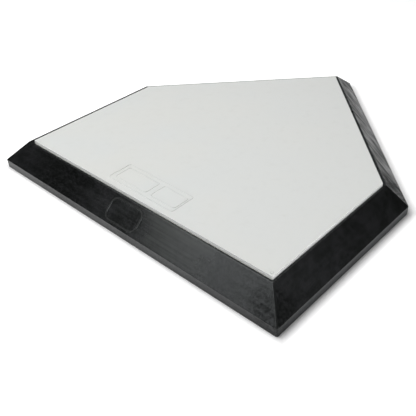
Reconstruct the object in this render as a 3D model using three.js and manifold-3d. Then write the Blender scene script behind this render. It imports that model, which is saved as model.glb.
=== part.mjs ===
// Home plate: a white rubber face slab set into a bevelled black rubber body.
// A plywood core fills the body's underside and keeps the plate flat. Screws run up through the core
// and the body's web into tee nuts that are moulded into the slab, so they clamp the three together.
// Millimetres, +Z up. The front edge faces -Y, the apex points to +Y, and the base stands on Z = 0.

import * as THREE from "three";
import { mergeVertices } from "three/addons/utils/BufferGeometryUtils.js";
import Module from "manifold-3d";

const wasm = await Module();
wasm.setup();

// Face outline: a front edge, two sides square to it, and two back edges that meet at the apex.
const faceWidth = 431.8;
const faceLength = 431.8;
const sideLength = 215.9;
const faceCornerRadius = 2.0;
const faceEdgeChamfer = 0.8;

// Layers, from the ground up.
const coreRecess = 3.0;
const coreThickness = 19.0;
const bondLine = 0.3;
const webThickness = 6.0;
const faceThickness = 12.7;

// Border section, measured out from the face's edge.
const faceProud = 4.2;
const rimWidth = 3.4;
const borderWidth = 32.0;
const wallHeight = 12.5;
const wallDraft = 0.4;
const shoulderWall = 8.0;
const rimCornerRadius = 1.0;
const outerCornerRadius = 3.0;

// Fits between the layers.
const faceGap = 0.5;
const coreGap = 0.5;
const coreCornerRadius = 6.0;
const coreEdgeChamfer = 1.0;

// Flat-head screws and the flanged tee nuts that they turn into.
const fixingInset = 45.0;
const screwDiameter = 6.35;
const screwHeadDiameter = 12.7;
const screwHeadAngle = THREE.MathUtils.degToRad(82);
const screwHeadLand = 0.4;
const screwHeadSink = 0.3;
const screwTipChamfer = 0.8;
const screwTipClearance = 1.5;
const driveLength = 6.6;
const driveWidth = 1.5;
const driveDepth = 2.2;
const holeClearance = 0.4;
const threadClearance = 0.15;
const nutWall = 1.0;
const nutFlangeDiameter = 19.0;
const nutFlangeThickness = 1.5;
const nutCover = 4.2;
const nutGap = 0.3;

// How finely round edges are drawn.
const cornerSteps = 5;
const roundSides = 20;

// Heights that follow from the layers.
const coreTop = coreRecess + coreThickness;
const webBottom = coreTop + bondLine;
const webTop = webBottom + webThickness;
const faceBottom = webTop + bondLine;
const rimHeight = faceBottom + faceThickness - faceProud;

// Sizes of the fixings that follow from the layers that they hold.
const screwRadius = screwDiameter / 2;
const screwHeadRadius = screwHeadDiameter / 2;
const screwHeadCone = (screwHeadRadius - screwRadius) / Math.tan(screwHeadAngle / 2);
const nutHeight = faceThickness - nutCover - nutGap;
const nutBoreRadius = screwRadius + threadClearance;
const nutBarrelRadius = nutBoreRadius + nutWall;
const nutFlangeRadius = nutFlangeDiameter / 2;
const screwBottom = coreRecess + screwHeadSink;
const screwLength = faceBottom + nutHeight - screwTipClearance - screwBottom;
const throughHoleRadius = screwRadius + holeClearance;

// How far the border reaches out from the face's edge at a height: the bevel above the upright wall.
function borderReach(height) {
  const rise = THREE.MathUtils.clamp((height - wallHeight) / (rimHeight - wallHeight), 0, 1);
  return THREE.MathUtils.lerp(borderWidth, rimWidth, rise);
}
const cavityReach = borderReach(webBottom) - shoulderWall;
const coreReach = cavityReach - coreGap;

// The five corners of the face, each edge moved out by an offset, with the front edge on Y = 0.
function plateCorners(offset) {
  const half = faceWidth / 2;
  const corners = [
    new THREE.Vector2(-half, 0),
    new THREE.Vector2(half, 0),
    new THREE.Vector2(half, sideLength),
    new THREE.Vector2(0, faceLength),
    new THREE.Vector2(-half, sideLength),
  ];
  return corners.map((corner, i) => {
    const before = corners[(i + corners.length - 1) % corners.length];
    const after = corners[(i + 1) % corners.length];
    const outIn = outwardNormal(before, corner);
    const outAfter = outwardNormal(corner, after);
    const mitre = outIn.clone().add(outAfter).divideScalar(1 + outIn.dot(outAfter));
    return corner.clone().addScaledVector(mitre, offset);
  });
}

function outwardNormal(from, to) {
  const along = to.clone().sub(from).normalize();
  return new THREE.Vector2(along.y, -along.x);
}

// The offset outline with each corner rounded by an arc, counter-clockwise from above.
function plateOutline(offset, radius) {
  const corners = plateCorners(offset);
  return corners.flatMap((corner, i) => {
    const before = corners[(i + corners.length - 1) % corners.length];
    const after = corners[(i + 1) % corners.length];
    const outIn = outwardNormal(before, corner);
    const outAfter = outwardNormal(corner, after);
    const inset = outIn.clone().add(outAfter).multiplyScalar(-radius / (1 + outIn.dot(outAfter)));
    const centre = corner.clone().add(inset);
    const start = outIn.angle();
    const turn = Math.acos(outIn.dot(outAfter));
    return Array.from({ length: cornerSteps + 1 }, (_, step) => {
      const angle = start + (turn * step) / cornerSteps;
      return new THREE.Vector2(Math.cos(angle), Math.sin(angle)).multiplyScalar(radius).add(centre);
    });
  });
}

// A closed solid through a stack of outlines that have the same number of points.
function loft(layers) {
  const count = layers[0].outline.length;
  const positions = layers.flatMap(({ outline, z }) => outline.flatMap((point) => [point.x, point.y, z]));
  const index = [];
  for (let layer = 0; layer + 1 < layers.length; layer++) {
    for (let i = 0; i < count; i++) {
      const low = layer * count + i;
      const lowNext = layer * count + ((i + 1) % count);
      index.push(low, lowNext, lowNext + count, low, lowNext + count, low + count);
    }
  }
  const top = (layers.length - 1) * count;
  for (const [a, b, c] of THREE.ShapeUtils.triangulateShape(layers[0].outline, [])) {
    index.push(c, b, a);
  }
  for (const [a, b, c] of THREE.ShapeUtils.triangulateShape(layers.at(-1).outline, [])) {
    index.push(top + a, top + b, top + c);
  }
  const geometry = new THREE.BufferGeometry();
  geometry.setAttribute("position", new THREE.Float32BufferAttribute(positions, 3));
  geometry.setIndex(index);
  return geometry;
}

// A solid of revolution about +Z from [radius, height] pairs, listed upwards along the outside.
function turned(profile, x = 0, y = 0) {
  const points = profile.map(([radius, height]) => new THREE.Vector2(radius, height));
  return new THREE.LatheGeometry(points, roundSides).rotateX(Math.PI / 2).translate(x, y, 0);
}

// A round bar about +Z, for cutting a hole.
function bar(radius, bottom, top, x, y) {
  return turned([[0, bottom], [radius, bottom], [radius, top], [0, top]], x, y);
}

function solidOf(geometry) {
  const bare = geometry.clone();
  bare.deleteAttribute("normal");
  bare.deleteAttribute("uv");
  const merged = mergeVertices(bare);
  const triVerts = new Uint32Array(merged.index.array);
  return new wasm.Manifold(
    new wasm.Mesh({ numProp: 3, vertProperties: merged.attributes.position.array, triVerts }),
  );
}

// The blank geometry with every cutter taken away.
function cut(blank, cutters) {
  const result = cutters.reduce((solid, cutter) => solid.subtract(solidOf(cutter)), solidOf(blank));
  const mesh = result.getMesh();
  const geometry = new THREE.BufferGeometry();
  geometry.setAttribute("position", new THREE.BufferAttribute(mesh.vertProperties, 3));
  geometry.setIndex(new THREE.BufferAttribute(mesh.triVerts, 1));
  const faceted = geometry.toNonIndexed();
  faceted.computeVertexNormals();
  return faceted;
}

// One fixing at each corner, one midway along each edge and one at the centre of the plate.
function fixingPoints() {
  const corners = plateCorners(-fixingInset);
  const middles = corners.map((corner, i) => corner.clone().lerp(corners[(i + 1) % corners.length], 0.5));
  const centre = corners.reduce((sum, corner) => sum.add(corner), new THREE.Vector2());
  return [...corners, ...middles, centre.divideScalar(corners.length)];
}

// The cutters reach past a face by this much, so that they leave no skin on it.
const overshoot = 1.0;

const materials = {
  whiteRubber: new THREE.MeshStandardMaterial({ color: 0xdcdedb, roughness: 0.55, metalness: 0 }),
  blackRubber: new THREE.MeshStandardMaterial({ color: 0x1c1d1e, roughness: 0.45, metalness: 0 }),
  plywood: new THREE.MeshStandardMaterial({ color: 0xc29a66, roughness: 0.75, metalness: 0 }),
  zincSteel: new THREE.MeshStandardMaterial({ color: 0xb4b6b2, roughness: 0.35, metalness: 1 }),
};

// White slab: Z = 0 on its underside, with a stepped pocket for each tee nut.
function faceSlab(points) {
  const blank = loft([
    { outline: plateOutline(0, faceCornerRadius), z: 0 },
    { outline: plateOutline(0, faceCornerRadius), z: faceThickness - faceEdgeChamfer },
    { outline: plateOutline(-faceEdgeChamfer, faceCornerRadius - faceEdgeChamfer), z: faceThickness },
  ]);
  const pockets = points.map(({ x, y }) =>
    turned(
      [
        [0, -overshoot],
        [nutFlangeRadius + nutGap, -overshoot],
        [nutFlangeRadius + nutGap, nutFlangeThickness + nutGap],
        [nutBarrelRadius + nutGap, nutFlangeThickness + nutGap],
        [nutBarrelRadius + nutGap, nutHeight + nutGap],
        [0, nutHeight + nutGap],
      ],
      x,
      y,
    ),
  );
  return cut(blank, pockets);
}

// Black body: upright wall, bevel and rim outside, a seat for the slab above and a cavity for the core below.
function bevelledBody(points) {
  const blank = loft([
    { outline: plateOutline(borderWidth - wallDraft, outerCornerRadius), z: 0 },
    { outline: plateOutline(borderWidth, outerCornerRadius), z: wallHeight },
    { outline: plateOutline(rimWidth, rimCornerRadius), z: rimHeight },
  ]);
  const seatOutline = plateOutline(faceGap, faceCornerRadius + faceGap);
  const seat = loft([
    { outline: seatOutline, z: webTop },
    { outline: seatOutline, z: rimHeight + overshoot },
  ]);
  const cavityOutline = plateOutline(cavityReach, coreCornerRadius + coreGap);
  const cavity = loft([
    { outline: cavityOutline, z: -overshoot },
    { outline: cavityOutline, z: webBottom },
  ]);
  const holes = points.map(({ x, y }) =>
    bar(throughHoleRadius, webBottom - overshoot, webTop + overshoot, x, y),
  );
  return cut(blank, [seat, cavity, ...holes]);
}

// Plywood core: Z = 0 on its underside, with a countersunk hole for each screw.
function plywoodCore(points) {
  const outline = plateOutline(coreReach, coreCornerRadius);
  const blank = loft([
    { outline: plateOutline(coreReach - coreEdgeChamfer, coreCornerRadius - coreEdgeChamfer), z: 0 },
    { outline, z: coreEdgeChamfer },
    { outline, z: coreThickness },
  ]);
  const mouthRadius = screwHeadRadius + holeClearance;
  const mouthDepth = screwHeadSink + screwHeadLand;
  const holes = points.map(({ x, y }) =>
    turned(
      [
        [0, -overshoot],
        [mouthRadius, -overshoot],
        [mouthRadius, mouthDepth],
        [throughHoleRadius, mouthDepth + screwHeadCone],
        [throughHoleRadius, coreThickness + overshoot],
        [0, coreThickness + overshoot],
      ],
      x,
      y,
    ),
  );
  return cut(blank, holes);
}

// Flanged tee nut: Z = 0 on the flange's underside.
function teeNut() {
  return turned([
    [nutBoreRadius, 0],
    [nutFlangeRadius, 0],
    [nutFlangeRadius, nutFlangeThickness],
    [nutBarrelRadius, nutFlangeThickness],
    [nutBarrelRadius, nutHeight],
    [nutBoreRadius, nutHeight],
    [nutBoreRadius, 0],
  ]);
}

// Flat-head screw with a cross drive: Z = 0 on the head's face, the tip up.
function coreScrew() {
  const blank = turned([
    [0, 0],
    [screwHeadRadius, 0],
    [screwHeadRadius, screwHeadLand],
    [screwRadius, screwHeadLand + screwHeadCone],
    [screwRadius, screwLength - screwTipChamfer],
    [screwRadius - screwTipChamfer, screwLength],
    [0, screwLength],
  ]);
  const driveHeight = driveDepth + overshoot;
  const blades = [
    new THREE.BoxGeometry(driveLength, driveWidth, driveHeight),
    new THREE.BoxGeometry(driveWidth, driveLength, driveHeight),
  ];
  return cut(blank, blades.map((blade) => blade.translate(0, 0, driveDepth - driveHeight / 2)));
}

function place(name, geometry, material, x, y, z) {
  const mesh = new THREE.Mesh(geometry, material);
  mesh.name = name;
  mesh.position.set(x, y, z);
  return mesh;
}

const points = fixingPoints();
const layers = new THREE.Group();
layers.add(place("black_bevel_body", bevelledBody(points), materials.blackRubber, 0, 0, 0));
layers.add(place("plywood_core", plywoodCore(points), materials.plywood, 0, 0, coreRecess));
layers.add(place("white_face_slab", faceSlab(points), materials.whiteRubber, 0, 0, faceBottom));
points.forEach(({ x, y }, i) => {
  const number = String(i + 1).padStart(2, "0");
  layers.add(place(`tee_nut_${number}`, teeNut(), materials.zincSteel, x, y, faceBottom));
  layers.add(place(`core_screw_${number}`, coreScrew(), materials.zincSteel, x, y, screwBottom));
});

// The origin is the middle of the plate's length and width, on the ground.
const extent = new THREE.Box2().setFromPoints(plateOutline(borderWidth, outerCornerRadius));
layers.position.y = -(extent.min.y + extent.max.y) / 2;

const homePlate = new THREE.Group();
homePlate.name = "home_plate";
homePlate.add(layers);

export default homePlate;
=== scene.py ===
"""Looks of a five-sided home plate: a white rubber face in a bevelled black rubber body on a plywood core."""

import functools
import logging
import math
from collections.abc import Callable, Sequence
from dataclasses import dataclass, field
from enum import Enum, IntEnum

import bmesh
import bpy
from mathutils import Matrix, Vector


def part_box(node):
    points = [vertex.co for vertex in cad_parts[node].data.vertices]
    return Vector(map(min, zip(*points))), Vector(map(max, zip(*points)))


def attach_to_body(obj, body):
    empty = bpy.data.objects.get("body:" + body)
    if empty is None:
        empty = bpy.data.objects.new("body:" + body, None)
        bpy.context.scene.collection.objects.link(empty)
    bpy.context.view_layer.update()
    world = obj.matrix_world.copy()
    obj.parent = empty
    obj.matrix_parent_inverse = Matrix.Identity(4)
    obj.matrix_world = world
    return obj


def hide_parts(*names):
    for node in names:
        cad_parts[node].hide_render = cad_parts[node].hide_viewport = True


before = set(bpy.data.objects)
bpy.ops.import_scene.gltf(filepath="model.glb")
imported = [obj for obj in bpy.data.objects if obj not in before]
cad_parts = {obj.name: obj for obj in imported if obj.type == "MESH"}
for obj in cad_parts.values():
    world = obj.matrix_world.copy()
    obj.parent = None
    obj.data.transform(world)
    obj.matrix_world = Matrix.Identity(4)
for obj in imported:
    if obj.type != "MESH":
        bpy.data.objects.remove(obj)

log = logging.getLogger("home_plate")

MM = 0.001
BODY = "root"
FIXING_COUNT = 11
WIDE_FACE = 400 * MM * MM
ALIGNED = math.cos(math.radians(4))
LEVEL = 0.15 * MM
MERGE_GAP = 0.001 * MM
WALL_HEIGHT = 12.5 * MM
HOLE_RADIUS = 3.575 * MM
BARREL_RADIUS = 4.325 * MM
FLANGE_HEIGHT = 1.5 * MM
HEAD_ANGLE = math.radians(82)
NOISE_SPAN = (0.3, 0.7)

Colour = tuple[float, float, float]
Place = tuple[float, float, float]
Span = tuple[float, float]
Box = tuple[Vector, Vector]


class Slot(Enum):
    """The record's material slots."""

    WHITE_RUBBER = "white_rubber"
    BLACK_RUBBER = "black_rubber"
    PLYWOOD = "plywood"
    ZINC_STEEL = "zinc_steel"


class Role(IntEnum):
    """What a point of a piece's seed mesh stands for."""

    OUTLINE = 0
    BLANK = 1
    SEAT = 2
    CAVITY = 3
    FIXING = 4


class Graph:
    """A node tree with short ways to add nodes, feed their inputs and do sums."""

    def __init__(self, tree: bpy.types.NodeTree) -> None:
        """Wraps the tree that the nodes are added to."""
        self.tree = tree

    def feed(self, socket: bpy.types.NodeSocket, value: object) -> None:
        """Links an output to an input, or sets the input's own value.

        Args:
            socket: The input.
            value: An output socket, a list of them for an input that takes several, or a plain value.
        """
        if isinstance(value, bpy.types.NodeSocket):
            self.tree.links.new(value, socket)
        elif isinstance(value, list):
            for output in value:
                self.tree.links.new(output, socket)
        else:
            socket.default_value = value

    def add(self, kind: str, inputs: dict | None = None, **settings: object) -> bpy.types.Node:
        """Adds a node.

        Args:
            kind: The node's type name.
            inputs: Values or outputs for its inputs, by socket name or number.
            settings: Values for its own properties.

        Returns:
            The new node.
        """
        node = self.tree.nodes.new(kind)
        for name, value in settings.items():
            setattr(node, name, value)
        for key, value in (inputs or {}).items():
            self.feed(node.inputs[key], value)
        return node

    def math(self, operation: str, *values: object) -> bpy.types.NodeSocket:
        """Adds a sum on numbers and returns its output."""
        node = self.add("ShaderNodeMath", dict(enumerate(values)), operation=operation)
        return node.outputs[0]

    def total(self, *values: object) -> bpy.types.NodeSocket:
        """Adds numbers up and returns their sum."""
        return functools.reduce(functools.partial(self.math, "ADD"), values)

    def product(self, *values: object) -> bpy.types.NodeSocket:
        """Multiplies numbers and returns their product."""
        return functools.reduce(functools.partial(self.math, "MULTIPLY"), values)

    def greatest(self, *values: object) -> bpy.types.NodeSocket:
        """Compares numbers and returns the greatest."""
        return functools.reduce(functools.partial(self.math, "MAXIMUM"), values)

    def ramp(self, value: object, low: float, high: float, start: float, end: float) -> bpy.types.NodeSocket:
        """Maps a value smoothly from the range of low to high to that of start to end, and returns it."""
        span = {"Value": value, "From Min": low, "From Max": high, "To Min": start, "To Max": end}
        return self.add("ShaderNodeMapRange", span, interpolation_type="SMOOTHSTEP").outputs["Result"]

    def axes(self, vector: object) -> bpy.types.bpy_prop_collection:
        """Takes a vector apart and returns its numbers, by axis."""
        return self.add("ShaderNodeSeparateXYZ", {"Vector": vector}).outputs

    def point(self, **numbers: object) -> bpy.types.NodeSocket:
        """Puts a vector together from its numbers, by axis, and returns it."""
        return self.add("ShaderNodeCombineXYZ", numbers).outputs["Vector"]

    def vector(self, operation: str, *values: object) -> bpy.types.NodeSocket:
        """Adds a sum on vectors and returns its vector output."""
        node = self.add("ShaderNodeVectorMath", dict(enumerate(values)), operation=operation)
        return node.outputs["Vector"]

    def scaled(self, vector: object, factor: object) -> bpy.types.NodeSocket:
        """Adds a vector times a number and returns its output."""
        node = self.add("ShaderNodeVectorMath", {"Vector": vector, "Scale": factor}, operation="SCALE")
        return node.outputs["Vector"]


class GeometryGraph(Graph):
    """A Geometry Nodes tree with named sizes, which turns a seed mesh into a finished plain mesh."""

    def __init__(self, name: str) -> None:
        """Starts a tree with one geometry input and one geometry output.

        Args:
            name: The tree's name.
        """
        super().__init__(bpy.data.node_groups.new(name, "GeometryNodeTree"))
        face = self.tree.interface
        face.new_socket("Geometry", in_out="INPUT", socket_type="NodeSocketGeometry")
        face.new_socket("Geometry", in_out="OUTPUT", socket_type="NodeSocketGeometry")
        self.source = self.add("NodeGroupInput")
        self.result = self.add("NodeGroupOutput")
        self.sizes: dict[str, float] = {}

    def size(self, name: str, value: float) -> bpy.types.NodeSocket:
        """Adds a named size to the tree's inputs.

        Args:
            name: The size's name.
            value: Its value, in metres.

        Returns:
            The output that gives the size inside the tree.
        """
        item = self.tree.interface.new_socket(name, in_out="INPUT", socket_type="NodeSocketFloat")
        self.sizes[item.identifier] = value
        return self.source.outputs[name]

    def attribute(self, name: str, kind: str) -> bpy.types.NodeSocket:
        """Reads a named attribute of the mesh and returns its output."""
        node = self.add("GeometryNodeInputNamedAttribute", {"Name": name}, data_type=kind)
        return node.outputs["Attribute"]

    def points_of(self, role: Role) -> bpy.types.NodeSocket:
        """Takes the points with one role out of the seed mesh.

        Args:
            role: The role to keep.

        Returns:
            The geometry of those points.
        """
        same = self.add(
            "FunctionNodeCompare",
            {"A": self.attribute("role", "FLOAT"), "B": float(role), "Epsilon": 0.5},
            data_type="FLOAT",
            operation="EQUAL",
        )
        kept = self.add(
            "GeometryNodeSeparateGeometry",
            {"Geometry": self.source.outputs["Geometry"], "Selection": same.outputs["Result"]},
        )
        return kept.outputs["Selection"]

    def moved(self, geometry: object, place: object, turn: object = (0.0, 0.0, 0.0)) -> bpy.types.NodeSocket:
        """Moves and turns geometry and returns it."""
        inputs = {"Geometry": geometry, "Translation": place, "Rotation": turn}
        return self.add("GeometryNodeTransform", inputs).outputs["Geometry"]

    def bar(self, radius: object, bottom: object, top: object, sides: int = 32) -> bpy.types.NodeSocket:
        """Makes a round bar about +Z.

        Args:
            radius: The bar's radius.
            bottom: The height where it starts.
            top: The height where it ends.
            sides: How many sides it is drawn with.

        Returns:
            The bar's mesh.
        """
        depth = self.math("SUBTRACT", top, bottom)
        inputs = {"Vertices": sides, "Radius": radius, "Depth": depth}
        bar = self.add("GeometryNodeMeshCylinder", inputs)
        middle = self.product(self.total(bottom, top), 0.5)
        return self.moved(bar.outputs["Mesh"], self.point(Z=middle))

    def real(self, geometry: object) -> bpy.types.NodeSocket:
        """Makes instances real geometry and returns it."""
        return self.add("GeometryNodeRealizeInstances", {"Geometry": geometry}).outputs["Geometry"]

    def on_points(self, points: object, piece: object) -> bpy.types.NodeSocket:
        """Puts a copy of a piece on each point, as real geometry, and returns the copies."""
        copies = self.add("GeometryNodeInstanceOnPoints", {"Points": points, "Instance": piece})
        return self.real(copies.outputs["Instances"])

    def solid(self, operation: str, inputs: dict) -> bpy.types.NodeSocket:
        """Combines solids exactly and returns the result."""
        node = self.add("GeometryNodeMeshBoolean", inputs, operation=operation, solver="EXACT")
        return node.outputs["Mesh"]

    def cut(self, blank: object, cutters: list[bpy.types.NodeSocket]) -> bpy.types.NodeSocket:
        """Takes cutters away from a blank and returns what is left."""
        return self.solid("DIFFERENCE", {"Mesh 1": blank, "Mesh 2": cutters})

    def join(self, pieces: list[bpy.types.NodeSocket]) -> bpy.types.NodeSocket:
        """Joins overlapping pieces into one body and returns it."""
        return self.solid("UNION", {"Mesh 2": pieces})

    def here(self) -> bpy.types.NodeSocket:
        """Returns each point's own place."""
        return self.add("GeometryNodeInputPosition").outputs["Position"]

    def placed(self, geometry: object, **inputs: object) -> bpy.types.NodeSocket:
        """Sets the places of a mesh's points and returns the mesh."""
        return self.add("GeometryNodeSetPosition", {"Geometry": geometry, **inputs}).outputs["Geometry"]

    def with_lid(self, geometry: object, lid: object) -> bpy.types.NodeSocket:
        """Stores which faces are the lid that a loft raises.

        Args:
            geometry: The loft so far.
            lid: Which of its faces are the lid.

        Returns:
            The geometry with the lid stored.
        """
        inputs = {"Geometry": geometry, "Name": "lid", "Value": lid}
        stored = self.add("GeometryNodeStoreNamedAttribute", inputs, data_type="BOOLEAN", domain="FACE")
        return stored.outputs["Geometry"]

    def loft(self, layers: Role) -> bpy.types.NodeSocket:
        """Lofts the seed's outline through a list of layers.

        Each layer is a point whose X is the outline's reach, Y the radius of its corners and Z its height.

        Args:
            layers: The role of the points that list the layers.

        Returns:
            The closed mesh.
        """
        listed = self.points_of(layers)
        count = self.add("GeometryNodeAttributeDomainSize", {"Geometry": listed}, component="MESH")
        first = self.placed(self.points_of(Role.OUTLINE), Position=self.on_layer(listed, 0))
        start = self.add("GeometryNodeRepeatInput")
        end = self.add("GeometryNodeRepeatOutput")
        start.pair_with_output(end)
        self.feed(start.inputs["Iterations"], self.math("SUBTRACT", count.outputs["Point Count"], 1))
        self.feed(start.inputs["Geometry"], self.with_lid(first, True))
        raise_lid = {
            "Mesh": start.outputs["Geometry"],
            "Selection": self.attribute("lid", "BOOLEAN"),
            "Offset Scale": 0.0,
            "Individual": False,
        }
        raised = self.add("GeometryNodeExtrudeMesh", raise_lid, mode="FACES").outputs
        place = self.on_layer(listed, self.math("ADD", start.outputs["Iteration"], 1))
        shaped = self.placed(raised["Mesh"], Selection=raised["Top"], Position=place)
        self.feed(end.inputs["Geometry"], self.with_lid(shaped, raised["Top"]))
        floor = self.add("GeometryNodeFlipFaces", {"Mesh": first})
        parts = [end.outputs["Geometry"], floor.outputs["Mesh"]]
        whole = self.add("GeometryNodeJoinGeometry", {"Geometry": parts})
        inputs = {"Geometry": whole.outputs["Geometry"], "Distance": MERGE_GAP}
        return self.add("GeometryNodeMergeByDistance", inputs).outputs["Geometry"]

    def on_layer(self, listed: object, index: object) -> bpy.types.NodeSocket:
        """Gives each outline point's place on one layer.

        Args:
            listed: The points that list the layers.
            index: The layer's number.

        Returns:
            The place: the mitred corner, moved in by the corner's radius and out again along its arc.
        """
        sample = self.add(
            "GeometryNodeSampleIndex",
            {"Geometry": listed, "Value": self.here(), "Index": index},
            data_type="FLOAT_VECTOR",
            domain="POINT",
        )
        parts = self.axes(sample.outputs["Value"])
        reach, corner, height = (parts[axis] for axis in "XYZ")
        inset = self.scaled(self.attribute("mitre", "FLOAT_VECTOR"), self.math("SUBTRACT", reach, corner))
        round_off = self.scaled(self.attribute("arc", "FLOAT_VECTOR"), corner)
        level = self.vector("ADD", self.attribute("corner", "FLOAT_VECTOR"), inset)
        return self.vector("ADD", self.vector("ADD", level, round_off), self.point(Z=height))

    def run(self, value: object, start: float, end: float, clamp: bool = False) -> bpy.types.NodeSocket:
        """Runs evenly from nought at a start to one at an end, and past them unless it is clamped."""
        span = {"Value": value, "From Min": start, "From Max": end}
        return self.add("ShaderNodeMapRange", span, clamp=clamp).outputs["Result"]

    def ridge_loop(
        self, width: object, length: object, corner: object, across: object, rise: object, steps: int = 8
    ) -> bpy.types.NodeSocket:
        """Makes a ridge with sloping flanks along a rectangle with round corners.

        Args:
            width: The loop's size along X.
            length: The loop's size along Y.
            corner: The radius of its corners.
            across: How wide the ridge is where it leaves the surface.
            rise: How far it stands out.
            steps: How many steps round a corner.

        Returns:
            The ridge's mesh, about the origin, with as much below the surface as above it.
        """
        loop = self.add("GeometryNodeCurvePrimitiveQuadrilateral", {"Width": width, "Height": length})
        fillet = {"Curve": loop.outputs["Curve"], "Radius": corner, "Count": steps}
        rounded = self.add("GeometryNodeFilletCurve", fillet, mode="POLY")
        upright = self.add("GeometryNodeSetCurveNormal", {"Curve": rounded.outputs["Curve"]}, mode="Z_UP")
        shape = {
            "Height": self.product(rise, 2.0),
            "Bottom Width": self.math("SUBTRACT", across, rise),
            "Top Width": self.total(across, rise),
            "Offset": 0.0,
        }
        section = self.add("GeometryNodeCurvePrimitiveQuadrilateral", shape, mode="TRAPEZOID")
        swept = {"Curve": upright.outputs["Curve"], "Profile Curve": section.outputs["Curve"]}
        return self.add("GeometryNodeCurveToMesh", swept).outputs["Mesh"]

    def finish(self, geometry: object, material: bpy.types.Material) -> None:
        """Ends the tree with real geometry in one material.

        Args:
            geometry: The finished geometry.
            material: The material that it gets.
        """
        inputs = {"Geometry": self.real(geometry), "Material": material}
        dressed = self.add("GeometryNodeSetMaterial", inputs)
        self.feed(self.result.inputs["Geometry"], dressed.outputs["Geometry"])

    def make(self, name: str, seed: bpy.types.Mesh) -> bpy.types.Object:
        """Runs the tree on a seed mesh.

        Args:
            name: The piece's name.
            seed: The mesh that goes in.

        Returns:
            The piece, with the result as its plain mesh.
        """
        piece = bpy.data.objects.new(name, seed)
        bpy.context.scene.collection.objects.link(piece)
        modifier = piece.modifiers.new(self.tree.name, "NODES")
        modifier.node_group = self.tree
        for identifier, value in self.sizes.items():
            modifier[identifier] = value
        settle(piece)
        return piece


def settle(piece: bpy.types.Object) -> None:
    """Turns a piece's modifiers into its plain mesh.

    Args:
        piece: The object whose modifiers are applied and removed.
    """
    graph = bpy.context.evaluated_depsgraph_get()
    mesh = bpy.data.meshes.new_from_object(piece.evaluated_get(graph), depsgraph=graph)
    mesh.name = piece.name
    piece.modifiers.clear()
    piece.data = mesh


def soften(piece: bpy.types.Object, sharp_angle: float = math.radians(32)) -> None:
    """Shades a piece smoothly over its rounded edges and leaves its flat faces flat.

    Args:
        piece: The piece.
        sharp_angle: Edges that turn by more than this stay sharp.
    """
    mesh = piece.data
    for name in ("role", "corner", "mitre", "arc", "lid"):
        found = mesh.attributes.get(name)
        if found:
            mesh.attributes.remove(found)
    mesh.polygons.foreach_set("use_smooth", [True] * len(mesh.polygons))
    mesh.set_sharp_from_angle(angle=sharp_angle)
    weighted = piece.modifiers.new("flat_faces", "WEIGHTED_NORMAL")
    weighted.keep_sharp = True
    weighted.weight = 100
    settle(piece)


def lay_surface_map(mesh: bpy.types.Mesh, least_lean: float = 0.02) -> None:
    """Gives each face a map in metres: along its edge of the plate, and up its slope.

    Args:
        mesh: The mesh that gets the map.
        least_lean: Faces that lean by less than this count as level.
    """
    surface = mesh.uv_layers.new(name="surface")
    for polygon in mesh.polygons:
        level = Vector((polygon.normal.x, polygon.normal.y))
        if level.length < least_lean:
            along, up = Vector((1.0, 0.0, 0.0)), Vector((0.0, 1.0, 0.0))
        else:
            along = Vector((-level.y, level.x, 0.0)).normalized()
            up = polygon.normal.cross(along)
        for loop in polygon.loop_indices:
            point = mesh.vertices[mesh.loops[loop].vertex_index].co
            surface.data[loop].uv = (point.dot(along), point.dot(up))


def find_wear_and_painted_light(mesh: bpy.types.Mesh, level: Callable[[Vector, Vector], float]) -> None:
    """Stores each face's level of scuffing and painted light: rounded edges, mitres and ridges have one, and
    the wide faces don't.

    Args:
        mesh: The mesh that gets the face attribute.
        level: Gives the level of a face that lies on no wide face, from its normal and its middle.
    """
    wide = [(face.normal.copy(), face.center.copy()) for face in mesh.polygons if face.area > WIDE_FACE]
    worn_and_painted_light = []
    for face in mesh.polygons:
        lies_on = any(
            face.normal.dot(normal) > ALIGNED and abs(normal.dot(face.center - place)) < LEVEL
            for normal, place in wide
        )
        worn_and_painted_light.append(0.0 if lies_on else level(face.normal, face.center))
    mesh.attributes.new("wear", "FLOAT", "FACE").data.foreach_set("value", worn_and_painted_light)


@dataclass(frozen=True)
class Layer:
    """One outline of a loft: how far out it lies, how round its corners are and how high it is."""

    reach: float
    corner: float
    height: float


@dataclass(frozen=True)
class Turn:
    """A point of a section, with the radius that rounds it."""

    reach: float
    height: float
    radius: float = 0.0


def rounded_layers(
    section: Sequence[Turn], corner_at: Callable[[float], float], steps: int = 6
) -> list[Layer]:
    """Lists the layers of a section whose turns are rounded.

    Args:
        section: The section's points, from the bottom up.
        corner_at: Gives the radius of the outline's corners at a reach.
        steps: How many steps round a turn.

    Returns:
        The layers.
    """
    layers = []
    for i, turn in enumerate(section):
        here = Vector((turn.reach, turn.height))
        places = [here]
        if turn.radius > 0 and 0 < i < len(section) - 1:
            before = (Vector((section[i - 1].reach, section[i - 1].height)) - here).normalized()
            after = (Vector((section[i + 1].reach, section[i + 1].height)) - here).normalized()
            half = before.angle(after) / 2
            centre = here + (before + after).normalized() * turn.radius / math.sin(half)
            start = here + before * turn.radius / math.tan(half) - centre
            end = here + after * turn.radius / math.tan(half) - centre
            places = [
                centre + start.lerp(end, step / steps).normalized() * turn.radius for step in range(steps + 1)
            ]
        layers += [Layer(place.x, corner_at(place.x), place.y) for place in places]
    return layers


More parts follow.
